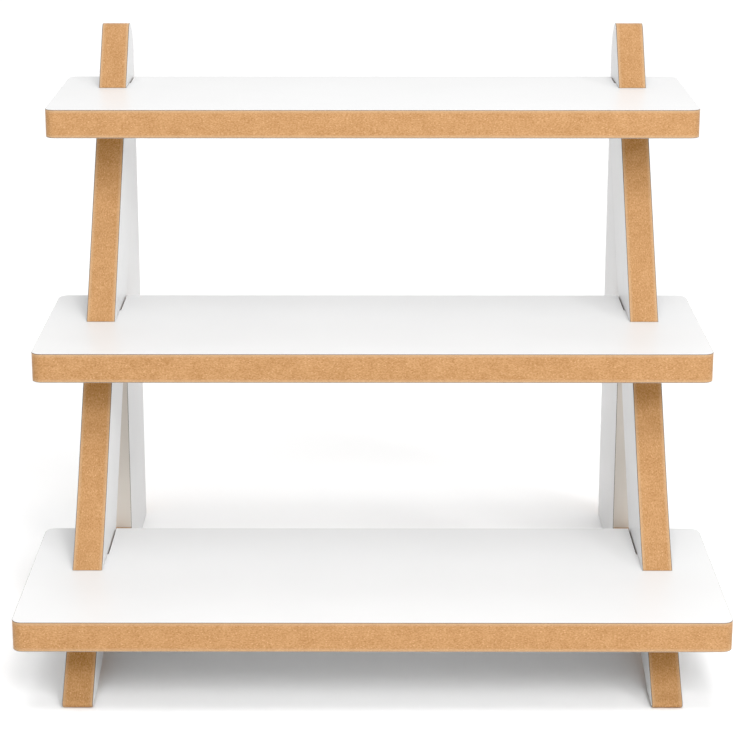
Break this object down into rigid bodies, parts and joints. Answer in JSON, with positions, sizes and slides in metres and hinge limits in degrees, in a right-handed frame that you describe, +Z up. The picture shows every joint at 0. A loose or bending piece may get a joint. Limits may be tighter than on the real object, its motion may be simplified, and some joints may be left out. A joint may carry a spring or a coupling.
{
  "type": "plant ladder stand",
  "caption": "Stepped plant stand: white faced boards with raw edges, slotted into two swept side frames so each shelf steps forward and down.",
  "frame": {"origin": "on the floor, under the middle of the whole stand's outline", "axes": "+Z up, +X to the right across the shelves, front towards -Y"},
  "size_m": [0.6, 0.516, 0.5175],
  "materials": {
    "faced_board": "white laminate faces, raw fibreboard edges",
    "edge_band": "matt white edge band",
    "beech": "smooth turned beech"
  },
  "bodies": {
    "root": {"top_shelf": "faced_board", "middle_shelf": "faced_board", "bottom_shelf": "faced_board", "front_leg_left": "faced_board", "front_leg_right": "faced_board", "rear_leg_left": "faced_board", "rear_leg_right": "faced_board", "edge_band_left": "edge_band", "edge_band_right": "edge_band", "foot_rail_left": "faced_board", "foot_rail_right": "faced_board", "seam_dowel_1_left": "beech", "seam_dowel_2_left": "beech", "seam_dowel_3_left": "beech", "rail_front_dowel_left": "beech", "rail_rear_dowel_left": "beech", "seam_dowel_1_right": "beech", "seam_dowel_2_right": "beech", "seam_dowel_3_right": "beech", "rail_front_dowel_right": "beech", "rail_rear_dowel_right": "beech"}
  },
  "joints": []
}
